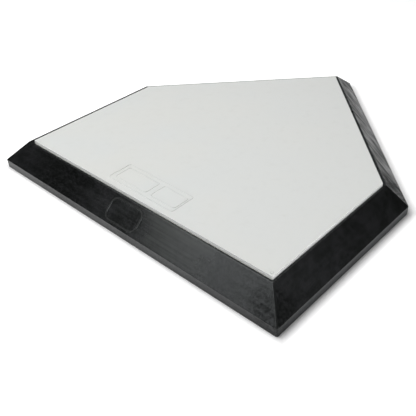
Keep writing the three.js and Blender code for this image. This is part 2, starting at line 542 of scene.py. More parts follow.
@dataclass(frozen=True)
class PlateOutline:
    """The face's outline: a front edge, two square sides of half its length and a square apex."""

    half_width: float
    front: float
    corner_steps: int = 10

    @property
    def shoulder(self) -> float:
        """How far back the two sides reach."""
        return self.front + self.half_width

    @property
    def apex(self) -> float:
        """How far back the apex lies."""
        return self.front + 2 * self.half_width

    def corners(self, reach: float = 0.0) -> list[Vector]:
        """Lists the five corners.

        Args:
            reach: How far out each edge is moved.

        Returns:
            The corners, from the front left one round to the right.
        """
        half, front, shoulder = self.half_width, self.front, self.shoulder
        sharp = [(-half, front), (half, front), (half, shoulder), (0.0, self.apex), (-half, shoulder)]
        return [Vector(point) + mitre * reach for point, (_, _, mitre) in zip(sharp, self.turns(sharp))]

    @staticmethod
    def turns(points: Sequence[tuple[float, float]]) -> list[tuple[float, float, Vector]]:
        """Gives each corner's first edge direction, its turn and its mitre.

        Args:
            points: The corners in order.

        Returns:
            For each corner the angle of its first edge's outward normal, the angle it turns by and the mitre.
        """
        found = []
        for i, point in enumerate(points):
            here = Vector(point)
            into = (here - Vector(points[i - 1])).normalized()
            away = (Vector(points[(i + 1) % len(points)]) - here).normalized()
            out_in, out_away = Vector((into.y, -into.x)), Vector((away.y, -away.x))
            mitre = (out_in + out_away) / (1 + out_in.dot(out_away))
            found.append((math.atan2(out_in.y, out_in.x), math.acos(out_in.dot(out_away)), mitre))
        return found

    def seed(self, lists: dict[Role, list[Layer]], fixings: Sequence[Vector] = ()) -> bpy.types.Mesh:
        """Makes the mesh that a piece's tree starts from.

        Args:
            lists: The layers of each loft.
            fixings: The places of the fixings.

        Returns:
            A mesh of the outline's face, with loose points for the layers and the fixings.
        """
        corners = self.corners()
        places, roles, corner, mitre, arc = [], [], [], [], []
        for point, (start, turn, out) in zip(corners, self.turns([tuple(c) for c in corners])):
            for step in range(self.corner_steps + 1):
                angle = start + turn * step / self.corner_steps
                places.append((*point, 0.0))
                roles.append(float(Role.OUTLINE))
                corner.append((*point, 0.0))
                mitre.append((*out, 0.0))
                arc.append((math.cos(angle), math.sin(angle), 0.0))
        face = list(range(len(places)))
        for role, layers in lists.items():
            places += [(layer.reach, layer.corner, layer.height) for layer in layers]
            roles += [float(role)] * len(layers)
        places += [(point.x, point.y, 0.0) for point in fixings]
        roles += [float(Role.FIXING)] * len(fixings)
        mesh = bpy.data.meshes.new("seed")
        mesh.from_pydata(places, [], [face])
        mesh.attributes.new("role", "FLOAT", "POINT").data.foreach_set("value", roles)
        for name, values in (("corner", corner), ("mitre", mitre), ("arc", arc)):
            padded = values + [(0.0, 0.0, 0.0)] * (len(places) - len(values))
            flat = [number for value in padded for number in value]
            mesh.attributes.new(name, "FLOAT_VECTOR", "POINT").data.foreach_set("vector", flat)
        return mesh


def numbered(stem: str) -> list[str]:
    """Lists the names of the nodes of a repeated piece."""
    return [f"{stem}_{number:02d}" for number in range(1, FIXING_COUNT + 1)]


@dataclass
class PlateFrame:
    """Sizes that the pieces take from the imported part."""

    slab: Box = field(default_factory=lambda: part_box("white_face_slab"))
    body: Box = field(default_factory=lambda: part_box("black_bevel_body"))
    core: Box = field(default_factory=lambda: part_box("plywood_core"))
    screw: Box = field(default_factory=lambda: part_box("core_screw_01"))
    nut: Box = field(default_factory=lambda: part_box("tee_nut_01"))

    @property
    def outline(self) -> PlateOutline:
        """The face's outline."""
        return PlateOutline(self.slab[1].x, self.slab[0].y)

    @property
    def border_reach(self) -> float:
        """How far the body's wall stands out from the face's edge."""
        return self.body[1].x - self.slab[1].x

    @property
    def core_reach(self) -> float:
        """How far the core's edge lies out from the face's edge."""
        return self.core[1].x - self.slab[1].x

    @property
    def head_radius(self) -> float:
        """The radius of a screw's head."""
        return (self.screw[1].x - self.screw[0].x) / 2

    @property
    def flange_radius(self) -> float:
        """The radius of a tee nut's flange."""
        return (self.nut[1].x - self.nut[0].x) / 2

    @property
    def fixings(self) -> list[Vector]:
        """The places of the screws and the tee nuts."""
        boxes = [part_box(name) for name in numbered("core_screw")]
        return [((low + high) / 2).xy for low, high in boxes]


class Finish(Graph):
    """A material's shader tree, with the pattern nodes that the finishes share."""

    def __init__(self, name: str) -> None:
        """Starts a material.

        Args:
            name: The material's name.
        """
        self.material = bpy.data.materials.new(name)
        self.material.use_nodes = True
        super().__init__(self.material.node_tree)
        self.tree.nodes.clear()
        self.shader = self.add("ShaderNodeBsdfPrincipled")
        self.add("ShaderNodeOutputMaterial", {"Surface": self.shader.outputs["BSDF"]})
        self.place = self.add("ShaderNodeTexCoord").outputs["Object"]

    def surface_map(self) -> bpy.types.NodeSocket:
        """Returns the piece's own map, in metres along and up each face."""
        return self.add("ShaderNodeUVMap", uv_map="surface").outputs["UV"]

    def wear(self) -> bpy.types.NodeSocket:
        """Returns each face's level of scuffing and painted light."""
        return self.add("ShaderNodeAttribute", attribute_name="wear").outputs["Fac"]

    def stretched(self, place: object, scale: Place, turn: float = 0.0) -> bpy.types.NodeSocket:
        """Turns a place about Z, scales it along each axis and returns it."""
        inputs = {"Vector": place, "Rotation": (0.0, 0.0, turn), "Scale": scale}
        return self.add("ShaderNodeMapping", inputs, vector_type="TEXTURE").outputs["Vector"]

    def noise(
        self, place: object, scale: float, detail: float = 3.0, roughness: float = 0.55, twist: float = 0.0
    ) -> bpy.types.NodeSocket:
        """Adds a noise pattern, twisted if wanted, and returns its value, from 0 to 1."""
        pattern = {"Scale": scale, "Detail": detail, "Roughness": roughness, "Distortion": twist}
        return self.add("ShaderNodeTexNoise", {"Vector": place, **pattern}).outputs["Fac"]

    def blend(self, share: object, first: object, second: object) -> bpy.types.NodeSocket:
        """Mixes two colours.

        Args:
            share: The second colour's share.
            first: The first colour.
            second: The second colour.

        Returns:
            The mix.
        """
        node = self.add("ShaderNodeMix", {"Factor": share}, data_type="RGBA")
        for socket, value in ((node.inputs[6], first), (node.inputs[7], second)):
            self.feed(socket, value if isinstance(value, bpy.types.NodeSocket) else (*value, 1.0))
        return node.outputs[2]

    def bump(self, height: object, depth: float, below: object | None = None) -> bpy.types.NodeSocket:
        """Adds a bump.

        Args:
            height: The pattern that stands out.
            depth: How far it stands out, in metres.
            below: The normal of another bump that it lies on.

        Returns:
            The normal.
        """
        node = self.add("ShaderNodeBump", {"Height": height, "Strength": 1.0, "Distance": depth})
        if below is not None:
            self.feed(node.inputs["Normal"], below)
        return node.outputs["Normal"]

    def dress(self, **inputs: object) -> bpy.types.Material:
        """Feeds the shader's inputs.

        Args:
            inputs: Their values or outputs, with underscores for the spaces in their names.

        Returns:
            The material.
        """
        for name, value in inputs.items():
            self.feed(self.shader.inputs[name.replace("_", " ")], value)
        return self.material


@dataclass(frozen=True)
class WhiteRubber:
    """Matt white rubber: faint patches of warmer and cooler white and a fine moulded grain, with painted
    light: paler towards the back right, painted light and shade on the upright sides, and painted shade on
    the flanks of the panel and the pip.
    """

    sizes: PlateFrame
    warm: Colour = (0.714, 0.723, 0.696)
    cool: Colour = (0.700, 0.721, 0.710)
    # Painted light: a paler white towards the back right.
    painted_light_white: Colour = (0.765, 0.776, 0.756)
    soil: Colour = (0.60, 0.60, 0.57)
    # Painted shade on the flanks of the panel's ridges and of the pip.
    painted_flank_shade: Colour = (0.41, 0.41, 0.395)
    # Painted light and shade on the upright sides: darker at the top, lighter at the foot, even at the right.
    side_top_painted_shade: Colour = (0.60, 0.61, 0.59)
    side_foot_painted_light: Colour = (0.92, 0.93, 0.90)
    right_side_painted_light: Colour = (0.74, 0.74, 0.735)
    painted_light_drift: Span = (-0.4, 0.25)
    painted_light_share: float = 0.8
    soil_share: float = 0.16
    roughness: Span = (0.5, 0.62)
    patch_scale: float = 9.0
    mottle_scale: float = 90.0
    grain_scale: float = 1500.0
    wave_scale: float = 22.0
    side_start: float = 0.5 * MM
    edge_fade: float = 0.1 * MM
    grain_depth: float = 0.03 * MM
    wave_depth: float = 0.25 * MM

    def make(self) -> bpy.types.Material:
        """Builds the material.

        Returns:
            The material.
        """
        finish = Finish("white_rubber")
        patches = finish.noise(finish.place, self.patch_scale, detail=2.0)
        mottle = finish.noise(finish.place, self.mottle_scale, detail=4.0)
        sides = finish.axes(finish.place)
        painted_light_drift = finish.total(sides["X"], sides["Y"])
        white = finish.blend(finish.ramp(patches, *NOISE_SPAN, 0.0, 1.0), self.warm, self.cool)
        # Painted light: the white turns paler towards the back right.
        white = finish.blend(finish.ramp(painted_light_drift, *self.painted_light_drift, 0.0, self.painted_light_share), white, self.painted_light_white)
        top = self.sizes.slab[1].z - 2 * self.edge_fade
        above = finish.ramp(sides["Z"], top, top + self.edge_fade, 0.0, 1.0)
        # Painted light and shade on the slab's upright sides.
        white = finish.blend(above, self.side(finish, sides, top), white)
        white = finish.blend(finish.ramp(mottle, 0.52, 0.85, 0.0, self.soil_share), white, self.soil)
        # Painted shade on the flanks of the panel's ridges and of the pip, read from the face attribute.
        white = finish.blend(finish.wear(), white, self.painted_flank_shade)
        grain = finish.noise(finish.place, self.grain_scale, detail=2.0)
        waves = finish.noise(finish.place, self.wave_scale, detail=1.0)
        return finish.dress(
            Base_Color=white,
            Roughness=finish.ramp(mottle, *NOISE_SPAN, *self.roughness),
            Normal=finish.bump(waves, self.wave_depth, finish.bump(grain, self.grain_depth)),
        )

    def side(
        self, finish: Finish, sides: bpy.types.bpy_prop_collection, top: float
    ) -> bpy.types.NodeSocket:
        """Paints light and shade on the slab's upright sides: painted shade towards the top, painted light
        towards the foot, and an even painted light at the right.

        Args:
            finish: The material's tree.
            sides: The place's numbers, by axis.
            top: The height where the sides end.

        Returns:
            The colour.
        """
        foot = self.sizes.body[1].z + self.side_start
        colour = finish.blend(finish.ramp(sides["Z"], foot, top, 0.0, 1.0), self.side_foot_painted_light, self.side_top_painted_shade)
        edge = self.sizes.outline.half_width
        right = finish.ramp(sides["X"], edge, edge + 2 * self.edge_fade, 0.0, 1.0)
        return finish.blend(right, colour, self.right_side_painted_light)


@dataclass(frozen=True)
class Stain:
    """A patch of the surface with ragged edges."""

    place: Place
    radius: float


@dataclass(frozen=True)
class BlackRubber:
    """Satin black rubber: mottled stains, fine flow lines along its edges, swirls, paler scuffed edges that
    are partly a painted highlight, and a pale powdery patch with a painted sheen on the front bevel.
    """

    sizes: PlateFrame
    deep: Colour = (0.0028, 0.0031, 0.0029)
    base: Colour = (0.0030, 0.0037, 0.0032)
    bloom: Colour = (0.0122, 0.0123, 0.0134)
    # A pale powdery patch with a painted sheen on the front bevel.
    dust_and_sheen: Colour = (0.031, 0.0335, 0.0310)
    # Paler scuffed edges, partly a painted edge highlight.
    worn_and_painted_light: Colour = (0.024, 0.0255, 0.0245)
    sheen: Colour = (0.94, 0.985, 1.0)
    roughness: Span = (0.20, 0.27)
    scuff_roughness: Span = (0.04, 0.40)
    stain_roughness: float = 0.4
    glint: Span = (0.34, 0.42)
    fleck_glint: float = 0.14
    cloud_scale: float = 24.0
    mottle_scale: float = 80.0
    speckle_scale: float = 300.0
    fleck_scale: float = 330.0
    grain_scale: float = 1100.0
    rag_scale: float = 45.0
    line_size: Place = (0.16, 0.0032, 1.0)
    swirl_size: Place = (0.036, 0.0065, 1.0)
    swirl_turn: float = math.radians(38)
    wave_size: Place = (0.05, 0.012, 1.0)
    wave_depth: float = 0.1 * MM
    grain_depth: float = 0.03 * MM
    mitre_slope: float = math.tan(math.radians(45) / 2)
    mitre_fade: Span = (1 * MM, 3 * MM)
    wall_shine: float = 0.69
    outer_shine: float = 0.88
    stain_dulling: float = 0.24
    ragged: float = 60 * MM
    solid_share: float = 0.3
    # The powdery patch with its painted sheen sits where the front bevel's highlight falls.
    dust_and_sheen_patches: tuple[Stain, ...] = (Stain((0.085, -0.216, 0.040), 0.080),)
    stained: tuple[Stain, ...] = (
        Stain((0.235, -0.249, 0.014), 0.038),
        Stain((-0.125, -0.232, 0.026), 0.085),
        Stain((0.012, -0.240, 0.018), 0.026),
        Stain((0.236, 0.016, 0.018), 0.046),
    )

    def make(self) -> bpy.types.Material:
        """Builds the material.

        Returns:
            The material.
        """
        finish = Finish("black_rubber")
        surface, sides = finish.surface_map(), finish.axes(finish.place)
        lines = finish.noise(finish.stretched(surface, self.line_size), 1.0, detail=3.0)
        speckle = finish.noise(finish.place, self.speckle_scale, detail=6.0, roughness=0.75)
        spots = finish.ramp(speckle, 0.42, 0.58, 0.1, 1.0)
        stains = finish.product(self.patches(finish, self.stained), spots)
        wear = finish.wear()
        aside = finish.math("SUBTRACT", finish.math("ABSOLUTE", sides["X"]), self.sizes.outline.half_width)
        grain = finish.noise(finish.place, self.grain_scale, detail=3.0)
        waves = finish.noise(finish.stretched(surface, self.wave_size), 1.0)
        scuffs = finish.product(
            self.back(finish, sides["Y"], aside),
            finish.ramp(wear, 0.0, 0.3, 1.0, 0.0),
            finish.total(self.swirls(finish, surface), finish.product(stains, self.stain_roughness)),
        )
        return finish.dress(
            Base_Color=self.colour(finish, lines, stains, wear),
            Roughness=finish.total(scuffs, finish.ramp(lines, *NOISE_SPAN, *self.roughness)),
            Specular_IOR_Level=self.shine(finish, lines, stains, sides["Z"], aside),
            Specular_Tint=(*self.sheen, 1.0),
            Normal=finish.bump(waves, self.wave_depth, finish.bump(grain, self.grain_depth)),
        )

    def colour(self, finish: Finish, lines: object, stains: object, wear: object) -> bpy.types.NodeSocket:
        """Colours the rubber.

        Args:
            finish: The material's tree.
            lines: The flow lines.
            stains: How stained it is.
            wear: How far each face is scuffed and painted with an edge highlight.

        Returns:
            The colour.
        """
        cloud = finish.noise(finish.place, self.cloud_scale, detail=4.0)
        mottle = finish.noise(finish.place, self.mottle_scale, detail=6.0, roughness=0.65, twist=0.4)
        pale = finish.total(
            finish.ramp(lines, 0.2, 0.8, 0.0, 0.1),
            finish.ramp(cloud, 0.35, 0.65, 0.0, 0.3),
            finish.ramp(mottle, 0.40, 0.60, 0.0, 0.6),
        )
        # Painted sheen: a pale powdery patch where the front bevel's highlight falls.
        dust_and_sheen = finish.product(self.patches(finish, self.dust_and_sheen_patches), finish.ramp(lines, *NOISE_SPAN, 0.35, 1.0))
        black = finish.blend(pale, self.base, self.bloom)
        # Paler edges: partly scuffing, partly a painted edge highlight.
        for share, colour in ((dust_and_sheen, self.dust_and_sheen), (stains, self.deep), (wear, self.worn_and_painted_light)):
            black = finish.blend(share, black, colour)
        return black

    def swirls(self, finish: Finish, surface: object) -> bpy.types.NodeSocket:
        """Makes slanting swirls on the piece's own map and returns how rough they are."""
        place = finish.stretched(surface, self.swirl_size, self.swirl_turn)
        return finish.ramp(finish.noise(place, 1.0, detail=5.0, twist=0.7), 0.36, 0.64, *self.scuff_roughness)

    def back(self, finish: Finish, along: object, aside: object) -> bpy.types.NodeSocket:
        """Returns one on the two back bevels, as far as their mitres, and nought elsewhere."""
        mitre = finish.total(finish.product(aside, self.mitre_slope), self.sizes.outline.shoulder)
        return finish.ramp(finish.math("SUBTRACT", along, mitre), *self.mitre_fade, 0.0, 1.0)

    def shine(
        self, finish: Finish, lines: object, stains: object, height: object, aside: object
    ) -> bpy.types.NodeSocket:
        """Makes the rubber shine, less where it is stained and on the upright wall.

        Args:
            finish: The material's tree.
            lines: The flow lines.
            stains: How stained it is.
            height: The place's height.
            aside: How far the place lies outside the face's sides.

        Returns:
            The specular level.
        """
        fleck = finish.noise(finish.place, self.fleck_scale, detail=3.0)
        glint = finish.total(
            finish.ramp(lines, *NOISE_SPAN, *self.glint),
            finish.ramp(fleck, *NOISE_SPAN, 0.0, self.fleck_glint),
        )
        border = self.sizes.border_reach
        return finish.product(
            finish.math("SUBTRACT", glint, finish.product(stains, self.stain_dulling)),
            finish.ramp(height, WALL_HEIGHT - MM, WALL_HEIGHT + MM, self.wall_shine, 1.0),
            finish.ramp(aside, border - MM, border, 1.0, self.outer_shine),
        )

    def patches(self, finish: Finish, stains: Sequence[Stain]) -> bpy.types.NodeSocket:
        """Marks patches with ragged edges.

        Args:
            finish: The material's tree.
            stains: The patches.

        Returns:
            How far inside a patch each place is, from 0 to 1.
        """
        rags = finish.product(finish.noise(finish.place, self.rag_scale, detail=3.0), self.ragged)
        found = []
        for stain in stains:
            gap = finish.add("ShaderNodeVectorMath", {0: finish.place, 1: stain.place}, operation="DISTANCE")
            start, end = (self.ragged / 2 + stain.radius * share for share in (self.solid_share, 1.0))
            found.append(finish.ramp(finish.total(gap.outputs["Value"], rags), start, end, 1.0, 0.0))
        return finish.greatest(*found)


@dataclass(frozen=True)
class Plywood:
    """Sealed exterior plywood: a rotary-cut face with long grain and darker streaks."""

    light: Colour = (0.52, 0.34, 0.17)
    dark: Colour = (0.30, 0.165, 0.07)
    roughness: Span = (0.48, 0.66)
    figure_size: Place = (0.5, 0.035, 0.035)
    fibre_size: Place = (0.06, 0.0012, 0.0012)
    ring_count: float = 9.0
    pore_depth: float = 0.08 * MM

    def make(self) -> bpy.types.Material:
        """Builds the material.

        Returns:
            The material.
        """
        finish = Finish("plywood")
        figure = finish.noise(finish.stretched(finish.place, self.figure_size), 1.0, detail=3.0)
        rings = finish.math("FRACT", finish.product(figure, self.ring_count))
        fibre = finish.noise(finish.stretched(finish.place, self.fibre_size), 1.0, detail=4.0)
        share = finish.total(
            finish.ramp(rings, 0.55, 1.0, 0.0, 0.6), finish.ramp(fibre, 0.4, 0.75, 0.0, 0.4)
        )
        return finish.dress(
            Base_Color=finish.blend(share, self.light, self.dark),
            Roughness=finish.ramp(fibre, *NOISE_SPAN, *self.roughness),
            Normal=finish.bump(fibre, self.pore_depth),
        )


@dataclass(frozen=True)
class ZincSteel:
    """Bright zinc plating: slightly uneven, with fine handling marks."""

    bright: Colour = (0.62, 0.63, 0.62)
    dull: Colour = (0.44, 0.45, 0.44)
    roughness: Span = (0.28, 0.42)
    patch_scale: float = 350.0
    mark_size: Place = (0.02, 0.0006, 0.0006)
    mark_turn: float = 0.6
    mark_depth: float = 0.02 * MM

    def make(self) -> bpy.types.Material:
        """Builds the material.

        Returns:
            The material.
        """
        finish = Finish("zinc_steel")
        patches = finish.noise(finish.place, self.patch_scale, detail=4.0)
        place = finish.stretched(finish.place, self.mark_size, self.mark_turn)
        return finish.dress(
            Base_Color=finish.blend(finish.ramp(patches, 0.35, 0.7, 0.0, 1.0), self.bright, self.dull),
            Metallic=1.0,
            Roughness=finish.ramp(patches, *NOISE_SPAN, *self.roughness),
            Normal=finish.bump(finish.noise(place, 1.0, detail=2.0), self.mark_depth),
        )


@dataclass
class FaceSlab:
    """The white face: rounded edges, a plain moulded panel, a small pip and pockets for the tee nuts."""

    sizes: PlateFrame
    corner: float = 1.0 * MM
    edge: float = 0.25 * MM
    sideways: float = 0.4 * MM
    nut_gap: float = 0.3 * MM
    nut_flange: float = FLANGE_HEIGHT
    nut_barrel: float = BARREL_RADIUS
    panel_width: float = 117.4 * MM
    panel_side: float = -2.2 * MM
    panel_length: float = 37 * MM
    panel_middle: float = 28 * MM
    panel_corner: float = 3 * MM
    ridge_width: float = 1.1 * MM
    ridge_rise: float = 0.5 * MM
    cell_margin: float = 6.3 * MM
    cell_end: float = 2.8 * MM
    cell_gap: float = 8.6 * MM
    cell_split: float = 9.4 * MM
    pip_radius: float = 2.2 * MM
    pip_height: float = 0.5 * MM
    pip_side: float = 4.0 * MM
    pip_front: float = 4.4 * MM
    pip_sides: int = 24
    # Painted shade on the pip's sides and the panel's flanks.
    pip_painted_shade: float = 1.5
    pip_painted_shade_limit: float = 0.5
    long_flank_painted_shade: float = 0.3

    def build(self, material: bpy.types.Material) -> bpy.types.Object:
        """Builds the slab.

        Args:
            material: Its material.

        Returns:
            The piece.
        """
        low, high = self.sizes.slab
        section = [Turn(0.0, low.z), Turn(0.0, high.z, self.edge), Turn(-2 * self.edge, high.z)]
        layers = rounded_layers(section, lambda reach: self.corner + reach)
        tree = GeometryGraph("face_slab")
        points, pockets = tree.points_of(Role.FIXING), []
        for part, radius, top in (
            ("Flange", self.sizes.flange_radius, low.z + self.nut_flange),
            ("Barrel", self.nut_barrel, self.sizes.nut[1].z),
        ):
            wide = tree.size(f"{part} Radius", radius + self.nut_gap)
            end = tree.size(f"{part} Pocket Top", top + self.nut_gap)
            pockets.append(tree.on_points(points, tree.bar(wide, low.z - self.edge, end)))
        blank = tree.moved(tree.loft(Role.BLANK), (self.sideways, 0.0, 0.0))
        slab = tree.join([blank, *self.panel(tree), self.pip(tree)])
        tree.finish(tree.cut(slab, pockets), material)
        piece = tree.make("white_face", self.sizes.outline.seed({Role.BLANK: layers}, self.sizes.fixings))
        soften(piece)
        find_wear_and_painted_light(piece.data, self.wear_and_painted_light_level)
        return piece

    @property
    def pip_place(self) -> Vector:
        """The middle of the pip."""
        outline, top = self.sizes.outline, self.sizes.slab[1].z
        return Vector((outline.half_width - self.pip_side, outline.front + self.pip_front, top))

    def wear_and_painted_light_level(self, normal: Vector, place: Vector) -> float:
        """Tells how much painted shade a moulded flank gets: more when it faces along X than along Y.

        Args:
            normal: The flank's normal.
            place: The flank's middle.

        Returns:
            The painted shade, which is nought away from the panel and the pip.
        """
        if (place - self.pip_place).length < self.pip_radius + LEVEL:
            return min(self.pip_painted_shade * normal.xy.length, self.pip_painted_shade_limit)
        if abs(place.x) > self.panel_width:
            return 0.0
        # Flanks facing along X get more painted shade than those facing along Y.
        return min(abs(normal.x) + self.long_flank_painted_shade * abs(normal.y), 1.0)

    def panel(self, tree: GeometryGraph) -> list[bpy.types.NodeSocket]:
        """Makes the moulded panel: a plain frame round two blank cells.

        Args:
            tree: The slab's tree.

        Returns:
            The ridges.
        """
        across, rise = tree.size("Ridge Width", self.ridge_width), tree.size("Ridge Rise", self.ridge_rise)
        middle = self.sizes.outline.front + self.panel_middle
        length = self.panel_length - 2 * self.cell_margin
        left, right = self.cell_margin - self.panel_width / 2, self.panel_width / 2 - self.cell_end
        spans = [
            (-self.panel_width / 2, self.panel_width / 2, self.panel_length),
            (left, self.cell_split - self.cell_gap / 2, length),
            (self.cell_split + self.cell_gap / 2, right, length),
        ]
        loops = []
        for start, end, depth in spans:
            loop = tree.ridge_loop(end - start, depth, self.panel_corner, across, rise)
            side = self.panel_side + (start + end) / 2
            loops.append(tree.moved(loop, (side, middle, self.sizes.slab[1].z)))
        return loops

    def pip(self, tree: GeometryGraph) -> bpy.types.NodeSocket:
        """Makes the low round pip at the front right corner.

        Args:
            tree: The slab's tree.

        Returns:
            The pip.
        """
        shape = {"Segments": self.pip_sides, "Rings": self.pip_sides // 2, "Radius": self.pip_radius}
        ball = tree.add("GeometryNodeMeshUVSphere", shape)
        flat = {
            "Geometry": ball.outputs["Mesh"],
            "Translation": tuple(self.pip_place),
            "Scale": (1.0, 1.0, self.pip_height / self.pip_radius),
        }
        return tree.add("GeometryNodeTransform", flat).outputs["Geometry"]


@dataclass
class BevelBody:
    """The black body: foot, upright wall, bevel and rim, a seat for the slab and a cavity for the core."""

    sizes: PlateFrame
    wall_height: float = WALL_HEIGHT
    wall_draft: float = 0.4 * MM
    rim_reach: float = 3.4 * MM
    left_spread: float = 6.2 * MM
    back_spread: float = 5.4 * MM
    foot_edge: float = 0.8 * MM
    lip_edge: float = 0.45 * MM
    rim_edge: float = 1.2 * MM
    rim_corner: float = 1.0 * MM
    outer_corner: float = 2.4 * MM
    seat_gap: float = 0.5 * MM
    seat_corner: float = 2.5 * MM
    seat_flare: float = 0.5 * MM
    bond_line: float = 0.3 * MM
    core_gap: float = 0.5 * MM
    core_corner: float = 6.5 * MM
    hole_radius: float = HOLE_RADIUS
    mark_width: float = 55 * MM
    mark_length: float = 29 * MM
    mark_corner: float = 9 * MM
    mark_ridge: float = 2.6 * MM
    mark_rise: float = 0.5 * MM
    mark_middle: float = -2 * MM
    # Paler edges and mark top in the rubber's colour: partly scuffing, partly a painted highlight.
    edge_wear_and_highlight: float = 0.35
    mark_wear_and_highlight: float = 0.8

    def build(self, material: bpy.types.Material) -> bpy.types.Object:
        """Builds the body.

        Args:
            material: Its material.

        Returns:
            The piece.
        """
        lists = {Role.BLANK: self.outside(), Role.SEAT: self.seat(), Role.CAVITY: self.cavity()}
        tree = GeometryGraph("bevel_body")
        bottom, top = self.sizes.core[1].z - self.bond_line, self.sizes.slab[0].z + self.bond_line
        hole = tree.bar(tree.size("Hole Radius", self.hole_radius), bottom, top)
        holes = tree.on_points(tree.points_of(Role.FIXING), hole)
        blank = tree.join([self.stretched(tree, tree.loft(Role.BLANK)), self.mark(tree)])
        tree.finish(tree.cut(blank, [tree.loft(Role.SEAT), tree.loft(Role.CAVITY), holes]), material)
        piece = tree.make("black_border", self.sizes.outline.seed(lists, self.sizes.fixings))
        soften(piece)
        find_wear_and_painted_light(piece.data, self.wear_and_painted_light_level)
        lay_surface_map(piece.data)
        return piece

    @property
    def bevel_rise(self) -> float:
        """How far the bevel rises from the wall to the rim."""
        return self.sizes.body[1].z - self.wall_height

    @property
    def bevel_run(self) -> float:
        """How far in the front bevel runs from the wall to the rim."""
        return self.sizes.border_reach - self.rim_reach

    @property
    def bevel_angle(self) -> float:
        """How steep the front bevel is."""
        return math.atan2(self.bevel_rise, self.bevel_run)

    def wear_and_painted_light_level(self, normal: Vector, place: Vector) -> float:
        """Tells how far a narrow face is scuffed and painted with a highlight: most on top of the front
        bevel's raised outline.
        """
        slope = Vector((0.0, -math.sin(self.bevel_angle), math.cos(self.bevel_angle)))
        return self.mark_wear_and_highlight if normal.dot(slope) > ALIGNED else self.edge_wear_and_highlight

    def stretched(self, tree: GeometryGraph, outside: object) -> bpy.types.NodeSocket:
        """Widens the rim towards the left and the back, where the slab leaves more of it bare.

        Args:
            tree: The body's tree.
            outside: The body's outside.

        Returns:
            The outside with its wall in place and its rim widened.
        """
        place, outline = tree.axes(tree.here()), self.sizes.outline
        left, back = tree.size("Left Spread", self.left_spread), tree.size("Back Spread", self.back_spread)
        share = tree.run(place["Z"], self.wall_height, self.sizes.body[1].z, clamp=True)
        leftward = tree.run(place["X"], outline.half_width, -outline.half_width)
        backward = tree.run(place["Y"], outline.front, outline.apex)
        across, along = tree.product(share, left, leftward, -1.0), tree.product(share, back, backward)
        return tree.placed(outside, Offset=tree.point(X=across, Y=along))

    def corner_at(self, reach: float) -> float:
        """Gives the radius of the outline's corners at a reach: rounder towards the wall."""
        share = (reach - self.rim_reach) / self.bevel_run
        return self.rim_corner + (self.outer_corner - self.rim_corner) * max(share, 0.0)

    def outside(self) -> list[Layer]:
        """Lists the layers of the outside.

        Returns:
            The layers, from the foot up to the rim.
        """
        low, high = self.sizes.body
        wall = self.sizes.border_reach
        foot = wall - self.wall_draft
        section = [
            Turn(foot - 3 * self.foot_edge, low.z),
            Turn(foot, low.z, self.foot_edge),
            Turn(wall, self.wall_height, self.lip_edge),
            Turn(self.rim_reach, high.z, self.rim_edge),
            Turn(self.rim_reach - 2 * self.rim_edge, high.z),
        ]
        return rounded_layers(section, self.corner_at)

    def seat(self) -> list[Layer]:
        """Lists the layers of the slab's seat, which flares where it meets the rim.

        Returns:
            The layers, from the seat's floor up to above the rim.
        """
        floor, rim = self.sizes.slab[0].z - self.bond_line, self.sizes.body[1].z
        flare = self.seat_gap + self.seat_flare
        return [
            Layer(self.seat_gap, self.seat_corner, floor),
            Layer(self.seat_gap, self.seat_corner, rim - self.seat_flare),
            Layer(flare, self.seat_corner + self.seat_flare, rim),
            Layer(flare, self.seat_corner + self.seat_flare, rim + self.seat_flare),
        ]

    def cavity(self) -> list[Layer]:
        """Lists the layers of the core's cavity.

        Returns:
            The layers, from under the foot up to the web.
        """
        reach = self.sizes.core_reach + self.core_gap
        ceiling = self.sizes.core[1].z + self.bond_line
        return [Layer(reach, self.core_corner, height) for height in (-self.foot_edge, ceiling)]

    def mark(self, tree: GeometryGraph) -> bpy.types.NodeSocket:
        """Makes the plain raised outline on the front bevel.

        Args:
            tree: The body's tree.

        Returns:
            The ridge.
        """
        across, rise = tree.size("Mark Ridge", self.mark_ridge), tree.size("Mark Rise", self.mark_rise)
        loop = tree.ridge_loop(self.mark_width, self.mark_length, self.mark_corner, across, rise)
        place = (
            self.mark_middle,
            self.sizes.outline.front - self.rim_reach - self.bevel_run / 2,
            self.wall_height + self.bevel_rise / 2,
        )
        return tree.moved(loop, place, (self.bevel_angle, 0.0, 0.0))


@dataclass
class PlywoodCore:
    """The plywood board in the body's underside, with eased edges and countersunk holes."""

    sizes: PlateFrame
    corner: float = 6.0 * MM
    edge: float = 1.0 * MM
    hole_radius: float = HOLE_RADIUS
    mouth_gap: float = 0.4 * MM
    mouth_depth: float = 0.7 * MM
    head_angle: float = HEAD_ANGLE
    sides: int = 32

    def build(self, material: bpy.types.Material) -> bpy.types.Object:
        """Builds the board.

        Args:
            material: Its material.

        Returns:
            The piece.
        """
        low, high = self.sizes.core
        reach = self.sizes.core_reach
        section = [Turn(reach - 2 * self.edge, low.z), Turn(reach, low.z, self.edge), Turn(reach, high.z)]
        layers = rounded_layers(section, lambda at: self.corner + at - reach)
        mouth = self.sizes.head_radius + self.mouth_gap
        cone = (mouth - self.hole_radius) / math.tan(self.head_angle / 2)
        tree = GeometryGraph("plywood_core")
        narrow, wide = tree.size("Hole Radius", self.hole_radius), tree.size("Mouth Radius", mouth)
        hole = tree.bar(narrow, low.z - self.edge, high.z + self.edge)
        opening = tree.bar(wide, low.z - self.edge, low.z + self.mouth_depth)
        shape = {"Vertices": self.sides, "Radius Top": narrow, "Radius Bottom": wide, "Depth": cone}
        sink = tree.add("GeometryNodeMeshCone", shape)
        seat = tree.moved(sink.outputs["Mesh"], (0.0, 0.0, low.z + self.mouth_depth))
        points = tree.points_of(Role.FIXING)
        cutters = [tree.on_points(points, cutter) for cutter in (hole, opening, seat)]
        tree.finish(tree.cut(tree.loft(Role.BLANK), cutters), material)
        piece = tree.make("plywood_board", self.sizes.outline.seed({Role.BLANK: layers}, self.sizes.fixings))
        soften(piece)
        return piece


